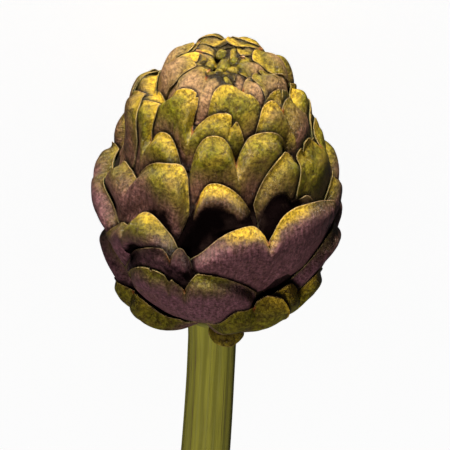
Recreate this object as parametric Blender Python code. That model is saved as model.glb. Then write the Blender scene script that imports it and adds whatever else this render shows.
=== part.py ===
"""A purple globe artichoke, as picked: one bud of overlapping bracts on a short ribbed stem, lying on its side.

The bud is worked out in its growing frame: the origin where the stem meets the bud, +Z towards the apex, azimuth 0
on the side that faces up once it lies down, and azimuth 90 towards +X. The part's own frame has its origin in the
middle of the flat spot that the bud rests on, +Z up, and the apex towards +Y.
"""

import math
import random
from dataclasses import dataclass

import bmesh
import bpy
import numpy as np
from mathutils import Matrix

MM = 0.001

# The bud's outline from the stem to the apex, as (radius, height) in millimetres.
OUTLINE_MM = (
    (9.5, 0.0), (24.5, 4.0), (33.0, 9.0), (38.5, 17.0), (42.0, 27.0), (45.0, 38.0), (47.5, 48.0), (48.5, 56.0),
    (46.5, 66.0), (42.5, 74.5), (37.5, 86.0), (32.5, 98.0), (27.0, 106.5), (20.0, 113.2), (12.0, 116.0), (5.0, 115.0),
    (0.0, 112.5),
)
OUTLINE_SAMPLES = 600

# The bracts, from the lowest and outermost to the innermost, along a spiral that turns by the golden angle.
BRACT_COUNT = 54
GOLDEN_ANGLE = -137.508
FIRST_AZIMUTH = 224.0
LOWEST_NOTCH = 30.0  # millimetres along the outline from the stem
HIGHEST_NOTCH = 158.0
CROWDING = 1.5  # how much closer together the bracts get towards the apex
HALF_WIDTHS = ((25.0, 26.0), (52.0, 31.0), (85.0, 31.0), (112.0, 25.0), (133.0, 19.0), (150.0, 12.0))  # by notch
LENGTHS = ((25.0, 26.0), (45.0, 42.0), (85.0, 46.0), (118.0, 34.0), (150.0, 24.0))  # by notch
SEED = 11

CORE_DEPTH = 8.0  # how far the solid heart lies under the outline
ROOT_DEPTH = 8.0
EDGE_THICKNESS = 1.0
ROOT_THICKNESS = 6.0
BULGE = 2.2
SHOULDER = 0.42

ALONG_FROM_EDGE = (1.0, 0.52, 0.28, 0.11, 0.0)
INNER_ROWS = (0, 4)
INNER_COLUMNS = (0, 2, 4, 6, 8)

STEM_PROFILE = ((0.0, 10.0), (4.0, 9.6), (12.0, 9.2), (32.0, 9.2), (54.0, 9.4), (77.0, 9.6), (78.0, 8.9))  # depth, radius
STEM_RIBS = 12
STEM_RIB_HEIGHT = 0.35
STEM_SIDES = 48
STEM_BEND = 1.6  # how far the cut end lies from the axis, to the left
GAP = 0.3  # between the stem and the bud

# The small bract that droops over the top of the stem.
FOOT_AZIMUTH = 24.0
FOOT_WIDTH = 30.0
FOOT_PROFILE = ((7.5, 2.2), (11.8, 1.2), (15.0, -1.6), (17.2, -5.4), (17.6, -9.4))  # radius, height
FOOT_THICKNESS = 1.2

# How the picked artichoke lies: the axis is level, and the flat spot is under the centre of mass.
LYING_HEIGHT = 46.0  # the axis above the surface
LYING_PLACE = 52.0  # the height up the bud that is over the origin

VIOLET = (0.12, 0.072, 0.04, 1.0)
STEM_GREEN = (0.13, 0.14, 0.03, 1.0)


@dataclass
class Bract:
    """One bract, with a lobe on each side of a notch. Lengths are in millimetres, angles in degrees.

    The left lobe lies towards smaller azimuths. A lobe of 0 leaves a plain margin that falls away from the notch.
    """

    azimuth: float  # of the notch
    notch: float  # how far along the outline the notch lies
    left: float = 7.0  # how far the lobe rises above the notch
    right: float = 7.0
    left_peak: float = 0.42  # where the lobe's top lies, between the notch at 0 and the side at 1
    right_peak: float = 0.42
    wide: float = 1.0
    skew: float = 0.0  # how much wider the bract is to the right
    flare: float = 0.0  # how far the tip stands away from the bud
    hollow: float = 0.5  # how deep the face sinks under the lobes


# The bracts that a grower would pick out by eye, as they stand on this head: number along the spiral, then the bract.
STANDING = {
    2: Bract(-57, 31, 4, 5, wide=0.85, flare=3.0),
    4: Bract(48, 45.5, 5, 5, flare=1.0),
    7: Bract(-14.5, 57.5, 7, 9, 0.5, 0.22),
    9: Bract(88, 64, 6, 6),
    10: Bract(-42, 66, 2, 9, 0.4, 0.3, wide=0.92),
    12: Bract(27, 82, 9, 10, 0.26, 0.4, wide=1.08, flare=1.5),
    14: Bract(70, 85, 4, 5, flare=1.0),
    15: Bract(-51, 74.3, 3, 15, 0.4, 0.34, hollow=3.0),
    17: Bract(42, 101, 4, 2, wide=0.6, flare=-1.0, hollow=3.0),
    18: Bract(-91, 81, 3, 3, 0.4, 0.3, flare=-0.5),
    20: Bract(-12, 98, 0, 9, 0.02, 0.24, wide=0.88, skew=0.3, hollow=4.0),
    22: Bract(84, 102, 6, 6, wide=0.9, flare=-2.5),
    23: Bract(-58, 95.5, 1, 15, 0.5, 0.66, skew=0.12, hollow=2.5),
    25: Bract(12.5, 112.5, 13, 12, 0.5, 0.5),
    26: Bract(-98, 114, 6, 6, flare=1.5),
    27: Bract(113, 113, 6, 7, flare=-1.5),
    28: Bract(-24, 125, 17, 6, 0.62, 0.3, wide=1.1),
    30: Bract(64, 101, 12, 8, 0.5, 0.4, flare=-0.5),
    31: Bract(-57.5, 112.4, 12, 9, 0.35, 0.5),
    33: Bract(10, 130.5, 8, 7, 0.15, 0.2, skew=-0.2),
    35: Bract(84, 120, 7, 7, flare=-0.5),
    36: Bract(-89, 127, 6, 7, flare=1.5),
    38: Bract(62, 133, 5, 7, 0.5, 0.5),
    39: Bract(-104, 141, 6, 8),
    41: Bract(-15, 143, 5, 5, wide=0.8),
    43: Bract(88, 140, 7, 7, wide=1.1, flare=-1.0),
    44: Bract(-74, 148, 7, 8),
    46: Bract(46, 136, 15, 4, 0.7, 0.3, wide=1.3),
}


def clear_scene():
    """Removes every object that the file starts with."""
    for thing in list(bpy.data.objects):
        bpy.data.objects.remove(thing)


def smooth_outline():
    """The outline as dense arrays: distance along it, radius, height, and the outward normal's two parts.

    Between two outline points the curve is a cubic whose slopes are those of the neighbouring chords.
    """
    points = np.array(OUTLINE_MM)
    chords = np.hypot(*np.diff(points, axis=0).T)
    knots = np.concatenate([[0.0], np.cumsum(chords)])
    slopes = np.gradient(points, knots, axis=0)
    at = np.linspace(0.0, knots[-1], OUTLINE_SAMPLES)
    left = np.clip(np.searchsorted(knots, at, side="right") - 1, 0, len(chords) - 1)
    span = chords[left][:, None]
    u = ((at - knots[left]) / chords[left])[:, None]
    curve = (
        (2 * u**3 - 3 * u**2 + 1) * points[left]
        + (u**3 - 2 * u**2 + u) * span * slopes[left]
        + (3 * u**2 - 2 * u**3) * points[left + 1]
        + (u**3 - u**2) * span * slopes[left + 1]
    )
    steps = np.hypot(*np.diff(curve, axis=0).T)
    distance = np.concatenate([[0.0], np.cumsum(steps)])
    tangent = np.gradient(curve, distance, axis=0)
    tangent /= np.linalg.norm(tangent, axis=1)[:, None]
    return distance, curve[:, 0], curve[:, 1], tangent[:, 1], -tangent[:, 0]


OUTLINE = smooth_outline()


def on_bud(azimuth, along, height):
    """Points in metres at an azimuth in degrees, a distance along the outline and a height over it."""
    distance, radius, level, out_r, out_z = OUTLINE
    r = np.interp(along, distance, radius) + height * np.interp(along, distance, out_r)
    z = np.interp(along, distance, level) + height * np.interp(along, distance, out_z)
    turn = np.radians(azimuth)
    return np.stack([r * np.sin(turn), -r * np.cos(turn), z], axis=-1) * MM


def grow_bracts():
    """Every bract from the outermost to the innermost: the spiral's rule, a seeded variation, and those that stand."""
    draw = random.Random(SEED)
    bracts = []
    for k in range(BRACT_COUNT):
        rise = 1 - (1 - k / (BRACT_COUNT - 1)) ** CROWDING
        grown = Bract(
            azimuth=FIRST_AZIMUTH + GOLDEN_ANGLE * k + draw.uniform(-6, 6),
            notch=LOWEST_NOTCH + (HIGHEST_NOTCH - LOWEST_NOTCH) * rise + draw.uniform(-2, 2),
            left=draw.uniform(5, 11) * (1 - 0.4 * rise),
            right=draw.uniform(5, 11) * (1 - 0.4 * rise),
            left_peak=draw.uniform(0.32, 0.52),
            right_peak=draw.uniform(0.32, 0.52),
            wide=draw.uniform(0.92, 1.08),
            skew=draw.uniform(-0.12, 0.12),
            flare=draw.uniform(0, 1.0),
        )
        bracts.append(STANDING.get(k, grown))
    return bracts


def bract_face(bract, u, b):
    """The outer face of a bract at u across, from -1 to 1 with the notch at 0, and b from 0 at the root to 1.

    The edge is two domes that meet in the notch and fall away to the sides. The height over the outline falls ever
    faster from the tip to the root, with a pillow under each dome, a crease under the notch, and a lip that turns in.
    """
    half_width = bract.wide * float(np.interp(bract.notch, *zip(*HALF_WIDTHS)))
    tip = bract.notch + max(bract.left, bract.right)
    length = min(float(np.interp(bract.notch, *zip(*LENGTHS))), tip - 4)
    off = np.abs(u)
    lobe = np.where(u < 0, bract.left, bract.right)
    peak = np.where(u < 0, bract.left_peak, bract.right_peak)
    inside = np.clip(1 - off / peak, 0, 1)
    outside = np.clip((off - peak) / (1 - peak), 0, 1)
    edge = bract.notch + lobe * (1 - inside**2.7) - SHOULDER * length * outside**1.8
    along = tip - length + (edge - tip + length) * b
    to_edge = edge - along
    sideways = half_width * u * (1 + bract.skew * np.sign(u)) * (0.74 + 0.26 * np.sin(np.pi * np.clip(b, 0, 0.7) / 1.1))
    girth = np.maximum(np.interp(along, OUTLINE[0], OUTLINE[1]), 8.0)
    azimuth = bract.azimuth + np.degrees(sideways / girth)
    height = -ROOT_DEPTH * (np.clip(tip - along, 0, None) / length) ** 1.5
    height += BULGE * np.exp(-(((off - peak) / 0.38) ** 2) - ((to_edge - 6.0) / 5.0) ** 2) * np.clip(lobe / 6, 0, 1)
    height -= bract.hollow * np.exp(-(((to_edge - 19.0) / 7.0) ** 2)) * (1 - u**4)
    height -= 1.0 * np.exp(-((u / 0.11) ** 2) - (to_edge / 7.0) ** 2)
    height -= 2.2 * np.exp(-((to_edge / 3.6) ** 2)) + 0.8 * np.exp(-(((1 - off) / 0.13) ** 2))
    height += bract.flare * b**3
    return azimuth, along, height, to_edge


def quads(grid):
    """The faces of a grid of vertex numbers."""
    corners = (grid[:-1, :-1], grid[:-1, 1:], grid[1:, 1:], grid[1:, :-1])
    return np.stack([corner.ravel() for corner in corners], axis=1).tolist()


def zipped_ends(grid, under_grid, column):
    """The triangles between one column of the outer grid and that of the inner one, which has fewer rows."""
    outer = grid[:, column].tolist()
    inner = under_grid[:, column].tolist()
    faces = []
    j = 0
    for i in range(len(outer) - 1):
        faces.append((outer[i], outer[i + 1], inner[j]))
        if (i + 1) * (len(inner) - 1) >= (j + 1) * (len(outer) - 1):
            faces.append((outer[i + 1], inner[j + 1], inner[j]))
            j += 1
    return faces


def bract_mesh(bract, name):
    """A closed wedge: the outer face, a plainer inner face that leaves it from the edge, and the rim between them."""
    left, right = -bract.left_peak, bract.right_peak
    across = (-1, (left - 1) / 2, left, left / 2, 0, right / 2, right, (right + 1) / 2, 1)
    u, b = np.meshgrid(across, 1 - np.array(ALONG_FROM_EDGE))
    azimuth, along, height, to_edge = bract_face(bract, u, b)
    under = EDGE_THICKNESS + (ROOT_THICKNESS - EDGE_THICKNESS) * np.clip(to_edge / 16.0, 0, 1)
    outer = on_bud(azimuth, along, height)
    inner = on_bud(azimuth, along, height - under)[np.ix_(INNER_ROWS, INNER_COLUMNS)]
    points = np.concatenate([outer.reshape(-1, 3), inner.reshape(-1, 3)])
    rows, columns = u.shape
    tall, wide = len(INNER_ROWS), len(INNER_COLUMNS)
    grid = np.arange(rows * columns).reshape(rows, columns)
    under_grid = rows * columns + np.arange(tall * wide).reshape(tall, wide)
    faces = quads(grid) + [face[::-1] for face in quads(under_grid)]
    faces += zipped_ends(grid, under_grid, 0) + zipped_ends(grid.T, under_grid.T, -1)
    faces += [face[::-1] for face in zipped_ends(grid, under_grid, -1) + zipped_ends(grid.T, under_grid.T, 0)]
    mesh = bpy.data.meshes.new(name)
    mesh.from_pydata(points.tolist(), [], faces)
    mesh.update()
    return mesh


def turned_mesh(name, profile, sides):
    """A closed body of revolution about +Z from (radius, height) pairs that start and end on the axis."""
    turns = np.arange(sides) * 2 * math.pi / sides
    points = [(0.0, 0.0, profile[0][1])]
    for radius, level in profile[1:-1]:
        points += [(radius * math.sin(t), -radius * math.cos(t), level) for t in turns]
    points.append((0.0, 0.0, profile[-1][1]))
    rings = len(profile) - 2
    faces = []
    for j in range(sides):
        k = (j + 1) % sides
        faces.append((0, 1 + k, 1 + j))
        faces.append((len(points) - 1, 1 + (rings - 1) * sides + j, 1 + (rings - 1) * sides + k))
        for i in range(rings - 1):
            low, high = 1 + i * sides, 1 + (i + 1) * sides
            faces.append((low + j, low + k, high + k, high + j))
    mesh = bpy.data.meshes.new(name)
    mesh.from_pydata([tuple(MM * c for c in p) for p in points], [], faces)
    mesh.update()
    return mesh


def core_mesh():
    """The solid heart that the bracts grow from, a little inside the outline and flat where the stem meets it."""
    distance, radius, level, out_r, out_z = OUTLINE
    places = np.linspace(14.0, distance[-1] - 10.0, 12)
    r = np.interp(places, distance, radius) - CORE_DEPTH * np.interp(places, distance, out_r)
    z = np.interp(places, distance, level) - CORE_DEPTH * np.interp(places, distance, out_z)
    profile = [(0.0, 0.0), (11.0, 0.0)] + [(float(p), float(q)) for p, q in zip(r, z)]
    return turned_mesh("bud", profile + [(0.0, float(z[-1]))], 24)


def stem_mesh():
    """The ribbed stem, from its seat under the bud to the plain cut end, bent a little to the left."""
    turns = np.arange(STEM_SIDES) * 2 * math.pi / STEM_SIDES
    rib = STEM_RIB_HEIGHT * np.cos(STEM_RIBS * turns)
    points = []
    for depth, radius in STEM_PROFILE:
        fade = min(1.0, depth / 10.0)
        r = radius + rib * fade
        sideways = -STEM_BEND * (depth / STEM_PROFILE[-1][0]) ** 2
        points.append(np.stack([sideways + r * np.sin(turns), -r * np.cos(turns), 0 * r - GAP - depth], axis=1))
    rings = np.arange(len(points) * STEM_SIDES).reshape(len(points), STEM_SIDES)
    around = np.concatenate([rings, rings[:, :1]], axis=1)
    middles = np.array([points[0].mean(axis=0), points[-1].mean(axis=0)])
    top, end = rings.size, rings.size + 1
    faces = [(top, i, j) for i, j in zip(around[0, :-1].tolist(), around[0, 1:].tolist())]
    faces += [(end, j, i) for i, j in zip(around[-1, :-1].tolist(), around[-1, 1:].tolist())]
    faces += [face[::-1] for face in quads(around)]
    mesh = bpy.data.meshes.new("stem")
    mesh.from_pydata((np.concatenate([*points, middles]) * MM).tolist(), [], faces)
    mesh.update()
    return mesh


def foot_mesh():
    """The small bract that droops from under the bud over the stem: a curved strip with a rounded tip."""
    radius, level = np.array(FOOT_PROFILE).T
    b, u = np.meshgrid(np.linspace(0, 1, len(radius)), np.linspace(-1, 1, 7), indexing="ij")
    place = b * (1 - 0.38 * u**2)
    knots = np.linspace(0, 1, len(radius))
    r = np.interp(place, knots, radius)
    z = np.interp(place, knots, level)
    turn = np.radians(FOOT_AZIMUTH + FOOT_WIDTH * u * (0.7 + 0.5 * b - 0.5 * b**2))
    slope_r, slope_z = np.interp(place, knots, np.gradient(radius)), np.interp(place, knots, np.gradient(level))
    length = np.hypot(slope_r, slope_z)
    down_r, down_z = slope_z / length * FOOT_THICKNESS, -slope_r / length * FOOT_THICKNESS
    top = np.stack([r * np.sin(turn), -r * np.cos(turn), z], axis=-1)
    r, z = r + down_r, z + down_z
    under = np.stack([r * np.sin(turn), -r * np.cos(turn), z], axis=-1)
    points = np.concatenate([top.reshape(-1, 3), under.reshape(-1, 3)]) * MM
    grid = np.arange(b.size).reshape(b.shape)
    under_grid = grid + b.size
    rim = [grid[0], grid[:, -1], grid[-1][::-1], grid[::-1, 0]]
    faces = quads(grid) + [face[::-1] for face in quads(under_grid)]
    for side in rim:
        for i, j in zip(side[:-1].tolist(), side[1:].tolist()):
            faces.append((j, i, i + b.size, j + b.size))
    mesh = bpy.data.meshes.new("foot")
    mesh.from_pydata(points.tolist(), [], faces)
    mesh.update()
    return mesh


def material(name, colour, roughness):
    """A plain Principled finish."""
    made = bpy.data.materials.new(name)
    made.use_nodes = True
    shader = made.node_tree.nodes["Principled BSDF"]
    shader.inputs["Base Color"].default_value = colour
    shader.inputs["Roughness"].default_value = roughness
    shader.inputs["Metallic"].default_value = 0.0
    return made


def new_object(name, mesh):
    """A mesh object in the scene."""
    made = bpy.data.objects.new(name, mesh)
    bpy.context.scene.collection.objects.link(made)
    return made


def apply_modifiers(thing):
    """Replaces an object's mesh by what its modifiers make of it."""
    graph = bpy.context.evaluated_depsgraph_get()
    made = bpy.data.meshes.new_from_object(thing.evaluated_get(graph))
    thing.modifiers.clear()
    thing.data = made


def fuse(body, repeats, folder_name):
    """Joins the repeats into the body with one Boolean union, and removes them."""
    folder = bpy.data.collections.new(folder_name)
    bpy.context.scene.collection.children.link(folder)
    for k, mesh in enumerate(repeats):
        piece = bpy.data.objects.new(f"{folder_name}_{k:02d}", mesh)
        folder.objects.link(piece)
    union = body.modifiers.new("union", "BOOLEAN")
    union.operation = "UNION"
    union.operand_type = "COLLECTION"
    union.collection = folder
    union.solver = "MANIFOLD"
    apply_modifiers(body)
    for piece in list(folder.objects):
        bpy.data.objects.remove(piece)
    bpy.data.collections.remove(folder)


def keep_outer_shell(thing):
    """Fills the sealed hollows between the bracts, and drops scraps, by keeping only the largest connected surface."""
    mesh = bmesh.new()
    mesh.from_mesh(thing.data)
    unseen = set(mesh.faces)
    shells = []
    while unseen:
        shell, edge_of_search = set(), [unseen.pop()]
        while edge_of_search:
            face = edge_of_search.pop()
            shell.add(face)
            around = {other for edge in face.edges for other in edge.link_faces} & unseen
            unseen -= around
            edge_of_search += around
        shells.append(shell)
    largest = max(shells, key=lambda shell: sum(face.calc_area() for face in shell))
    bmesh.ops.delete(mesh, geom=[face for face in mesh.faces if face not in largest], context="FACES")
    mesh.to_mesh(thing.data)
    mesh.free()


def lying():
    """The matrix that carries the growing frame to the part's frame, with the artichoke on its side."""
    up_to_forward = Matrix.Rotation(math.radians(-90), 4, "X")
    return Matrix.Translation((0, -LYING_PLACE * MM, LYING_HEIGHT * MM)) @ up_to_forward


def press_flat(bud):
    """Cuts the flat spot that the bud rests on, level with the origin."""
    mesh = bpy.data.meshes.new("surface")
    half, depth = 200 * MM, 60 * MM
    corners = [(x * half, y * half, z) for z in (-depth, 0.0) for y in (-1, 1) for x in (-1, 1)]
    faces = [(0, 2, 3, 1), (4, 5, 7, 6), (0, 1, 5, 4), (2, 6, 7, 3), (0, 4, 6, 2), (1, 3, 7, 5)]
    mesh.from_pydata(corners, [], faces)
    mesh.update()
    surface = new_object("surface", mesh)
    cut = bud.modifiers.new("flat", "BOOLEAN")
    cut.operation = "DIFFERENCE"
    cut.object = surface
    cut.solver = "MANIFOLD"
    apply_modifiers(bud)
    bpy.data.objects.remove(surface)


def lay_down(thing):
    """Moves a finished body from the growing frame to the part's own."""
    thing.data.transform(lying())
    thing.data.update()


def build_head():
    """The bud: the heart and its bracts fused in one body, lying down, with a flat spot where it rests."""
    head = new_object("head", core_mesh())
    bracts = [bract_mesh(bract, f"bract_{k:02d}") for k, bract in enumerate(grow_bracts())]
    fuse(head, [*bracts, foot_mesh()], "bract")
    lay_down(head)
    press_flat(head)
    keep_outer_shell(head)
    finish(head, material("bract_violet", VIOLET, 0.45))
    return head


def build_stem():
    """The stem, lying down with the bud."""
    stem = new_object("stem", stem_mesh())
    lay_down(stem)
    finish(stem, material("stem_green", STEM_GREEN, 0.55))
    return stem


def finish(thing, surface):
    """Gives a body its one material and smooth shading with sharp edges."""
    thing.data.materials.clear()
    thing.data.materials.append(surface)
    thing.data.shade_smooth()
    thing.data.set_sharp_from_angle(angle=math.radians(40))


def main():
    """Builds the artichoke."""
    clear_scene()
    build_head()
    build_stem()


main()
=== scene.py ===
"""The looks of a purple globe artichoke that lies on its side: its bracts, its stem and a plain studio.

The bud is worked out in its growing frame, in millimetres: the origin where the stem meets the bud, levels towards
the apex, azimuth 0 on the side that faces up once it lies down, and azimuth 90 towards +X. Bud.lay_down carries
points to the part's own frame, in metres. Pairs of numbers for a bract are for its left and right half.
"""

import logging
import math
import random
from collections.abc import Sequence
from dataclasses import dataclass, field
from enum import Enum

import bpy
import numpy as np
from mathutils import Matrix, Vector


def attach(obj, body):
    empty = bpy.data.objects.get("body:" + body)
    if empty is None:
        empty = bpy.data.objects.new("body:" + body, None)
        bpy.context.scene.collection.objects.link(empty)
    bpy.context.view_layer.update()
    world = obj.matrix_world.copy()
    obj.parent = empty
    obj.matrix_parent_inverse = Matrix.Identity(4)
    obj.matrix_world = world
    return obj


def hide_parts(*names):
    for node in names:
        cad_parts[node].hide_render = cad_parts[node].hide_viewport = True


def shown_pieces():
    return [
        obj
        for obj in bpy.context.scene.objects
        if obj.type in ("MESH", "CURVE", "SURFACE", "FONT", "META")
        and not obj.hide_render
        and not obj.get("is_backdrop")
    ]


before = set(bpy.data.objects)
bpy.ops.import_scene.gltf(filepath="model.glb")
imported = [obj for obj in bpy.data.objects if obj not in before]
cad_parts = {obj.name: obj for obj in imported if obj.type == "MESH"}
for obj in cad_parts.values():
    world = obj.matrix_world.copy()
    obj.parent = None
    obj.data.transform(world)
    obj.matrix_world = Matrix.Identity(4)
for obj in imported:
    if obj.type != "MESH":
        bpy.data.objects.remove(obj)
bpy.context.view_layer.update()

LOG = logging.getLogger("artichoke")
MM = 0.001
Array = np.ndarray
Pair = tuple[float, float]
Pairs = tuple[Pair, ...]
Triple = Colour = tuple[float, float, float]
Material = bpy.types.Material
Piece = bpy.types.Object


class End(Enum):
    """How a tube is closed at its ends."""

    FLAT = "one face over each end"
    FAN = "triangles round a middle point"


class Sum(Enum):
    """What a node does with its two numbers."""

    ADD = "ADD"
    SUBTRACT = "SUBTRACT"
    MULTIPLY = "MULTIPLY"
    MINIMUM = "MINIMUM"


class Blend(Enum):
    """How a node lays one colour over another."""

    COVER = "MIX"
    MULTIPLY = "MULTIPLY"


def read_between(grid: Array, row: Array, column: Array, eased: bool = False) -> Array:
    """Reads a grid between its points. Past its last row and column it starts again at the first.

    Args:
        grid: its values.
        row: where to read.
        column: where to read.
        eased: whether a share t of the next point becomes 3t^2 - 2t^3, which leaves no kinks.

    Returns:
        The values there.
    """
    i, j = np.floor(row).astype(int), np.floor(column).astype(int)
    s, t = row - i, column - j
    if eased:
        s, t = s * s * (3 - 2 * s), t * t * (3 - 2 * t)
    lower, upper, left, right = i % len(grid), (i + 1) % len(grid), j % len(grid[0]), (j + 1) % len(grid[0])
    low = grid[lower, left] * (1 - t) + grid[lower, right] * t
    high = grid[upper, left] * (1 - t) + grid[upper, right] * t
    return low * (1 - s) + high * s


def smooth_noise(x: Array, y: Array, seed: int) -> Array:
    """A smooth random surface, about -1 to 1, with one bump or dip for each unit of x and y."""
    size, spread = 64, 0.6
    lattice = np.random.default_rng(seed).standard_normal((size, size)) * spread
    return read_between(lattice, y, x, eased=True)


def ramp(value: Array, start: float, end: float) -> Array:
    """A smooth step: 0 before start, 1 after end, and 3t^2 - 2t^3 between them. Start may be the larger."""
    t = np.clip((value - start) / (end - start), 0, 1)
    return t * t * (3 - 2 * t)


def hill(value: Array, width: float, middle: float = 0.0) -> Array:
    """A bell of height 1 over the middle: exp of minus the square of the distance from it in widths."""
    return np.exp(-(((value - middle) / width) ** 2))


def closed_sheet(outer: Array, inner: Array) -> tuple[Array, Array]:
    """Joins two grids of points into one closed sheet.

    The outer grid's faces look away from the inner grid's, and a strip of faces runs round the rim between them.

    Args:
        outer: rows x columns x 3 points.
        inner: as many points under them.

    Returns:
        All points, and the faces as rows of four point numbers.
    """
    rows, columns = outer.shape[:2]
    grid = np.arange(rows * columns).reshape(rows, columns)
    under = grid + grid.size
    top = np.stack([grid[:-1, :-1], grid[:-1, 1:], grid[1:, 1:], grid[1:, :-1]], axis=-1).reshape(-1, 4)
    bottom = np.stack([under[:-1, :-1], under[1:, :-1], under[1:, 1:], under[:-1, 1:]], axis=-1).reshape(-1, 4)
    loop = np.concatenate([grid[0], grid[1:, -1], grid[-1, -2::-1], grid[-2::-1, 0]])
    i, j = loop[:-1], loop[1:]
    rim = np.stack([j, i, i + grid.size, j + grid.size], axis=-1)
    points = np.concatenate([outer.reshape(-1, 3), inner.reshape(-1, 3)])
    return points, np.concatenate([top, bottom, rim])


def tube_faces(rings: int, sides: int, end: End, flip: bool = False, start: int = 0) -> list[list[int]]:
    """The faces of a closed tube whose points run ring by ring, with the middles of any fans after them.

    Args:
        rings: how many rings it has.
        sides: how many points each ring has.
        end: how it is closed.
        flip: turns the faces over, for rings that run the other way.
        start: the number of its first point.

    Returns:
        Each face's point numbers.
    """
    grid = np.arange(rings * sides).reshape(rings, sides)
    around = np.roll(grid, -1, axis=1)
    wall = np.stack([grid[:-1], around[:-1], around[1:], grid[1:]], axis=-1).reshape(-1, 4)
    if end is End.FLAT:
        caps = [grid[0, ::-1], grid[-1]]
    else:
        first, last = np.full(sides, grid.size), np.full(sides, grid.size + 1)
        caps = [*np.stack([first, around[0], grid[0]], axis=1), *np.stack([last, grid[-1], around[-1]], axis=1)]
    if flip:
        wall, caps = wall[:, [0, 3, 2, 1]], [cap[::-1] for cap in caps]
    return [(face + start).tolist() for face in (*wall, *caps)]


def make_piece(name: str, points: Array, faces: Sequence, skin: Material) -> Piece:
    """Makes a smooth-shaded piece that rides on the part's one body.

    Args:
        name: the piece's name.
        points: n x 3 places in metres in the part's frame.
        faces: each one's point numbers.
        skin: its material.

    Returns:
        The new object.
    """
    mesh = bpy.data.meshes.new(name)
    mesh.from_pydata(points.tolist(), [], [list(face) for face in faces])
    mesh.update()
    mesh.shade_smooth()
    mesh.materials.append(skin)
    piece = bpy.data.objects.new(name, mesh)
    bpy.context.scene.collection.objects.link(piece)
    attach(piece, "root")
    LOG.info("%s: %d faces", name, len(faces))
    return piece


def set_attribute(piece: Piece, name: str, values: Array) -> None:
    """Stores one number for each of the piece's points."""
    attribute = piece.data.attributes.new(name, "FLOAT", "POINT")
    attribute.data.foreach_set("value", np.ascontiguousarray(values, np.float32).ravel())


def set_map(piece: Piece, u: Array, v: Array) -> None:
    """Stores the UV map that the skins read, from the points' u and v. A sheet's under side gets its own place."""
    places = np.stack([u.ravel(), v.ravel()], axis=-1)
    if len(piece.data.vertices) == 2 * len(places):
        places = np.concatenate([places, places + 0.5])
    layer = piece.data.uv_layers.new(name="skin")
    corners = np.empty(len(piece.data.loops), np.int32)
    piece.data.loops.foreach_get("vertex_index", corners)
    layer.data.foreach_set("uv", np.ascontiguousarray(places[corners], np.float32).ravel())


@dataclass(frozen=True)
class Outline:
    """The bud's outline from the stem to the apex, turned about the growing axis.

    Between two of its points the curve is a cubic whose slopes are those of the neighbouring chords.
    """

    points: Pairs = (
        (9.5, 0.0), (24.5, 4.0), (33.0, 9.0), (38.5, 17.0), (42.0, 27.0), (45.0, 38.0), (47.5, 48.0), (48.5, 56.0),
        (46.5, 66.0), (42.5, 74.5), (37.5, 86.0), (32.5, 98.0), (27.0, 106.5), (20.0, 113.2), (12.0, 116.0),
        (5.0, 115.0), (0.0, 112.5),
    )
    samples: int = 600
    least_radius: float = 8.0
    curve: dict[str, Array] = field(default_factory=dict)

    def __post_init__(self) -> None:
        """Samples the curve densely: distance along it, radius, level, and the outward normal's two parts."""
        points = np.array(self.points)
        chords = np.hypot(*np.diff(points, axis=0).T)
        knots = np.concatenate([[0.0], np.cumsum(chords)])
        slopes = np.gradient(points, knots, axis=0)
        at = np.linspace(0.0, knots[-1], self.samples)
        left = np.clip(np.searchsorted(knots, at, side="right") - 1, 0, len(chords) - 1)
        span = chords[left][:, None]
        u = ((at - knots[left]) / chords[left])[:, None]
        line = (
            (2 * u**3 - 3 * u**2 + 1) * points[left]
            + (u**3 - 2 * u**2 + u) * span * slopes[left]
            + (3 * u**2 - 2 * u**3) * points[left + 1]
            + (u**3 - u**2) * span * slopes[left + 1]
        )
        distance = np.concatenate([[0.0], np.cumsum(np.hypot(*np.diff(line, axis=0).T))])
        tangent = np.gradient(line, distance, axis=0)
        tangent /= np.linalg.norm(tangent, axis=1)[:, None]
        self.curve.update(
            distance=distance, radius=line[:, 0], level=line[:, 1], out_r=tangent[:, 1], out_z=-tangent[:, 0]
        )

    def read(self, what: str, along: Array) -> Array:
        """One of the sampled columns at distances along the outline, in millimetres."""
        return np.interp(along, self.curve["distance"], self.curve[what])

    def place(self, azimuth: Array, along: Array, height: Array) -> Array:
        """Points in the growing frame.

        Args:
            azimuth: degrees round the axis.
            along: distance along the outline from the stem.
            height: distance out from the outline.

        Returns:
            The points, with x = r sin(azimuth), y = -r cos(azimuth) and z the level.
        """
        r = self.read("radius", along) + height * self.read("out_r", along)
        z = self.read("level", along) + height * self.read("out_z", along)
        turn = np.radians(azimuth)
        return np.stack([r * np.sin(turn), -r * np.cos(turn), z], axis=-1)

    def turn(self, sideways: Array, along: Array) -> Array:
        """How many degrees round the axis a distance sideways is, with a slim bud taken as least_radius thick."""
        return np.degrees(sideways / np.maximum(self.read("radius", along), self.least_radius))


OUTLINE = Outline()


@dataclass(frozen=True)
class Split:
    """A narrow tear in a bract's margin: where it is across, how deep and how wide."""

    across: float
    depth: float = 4.0
    width: float = 0.8


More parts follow.
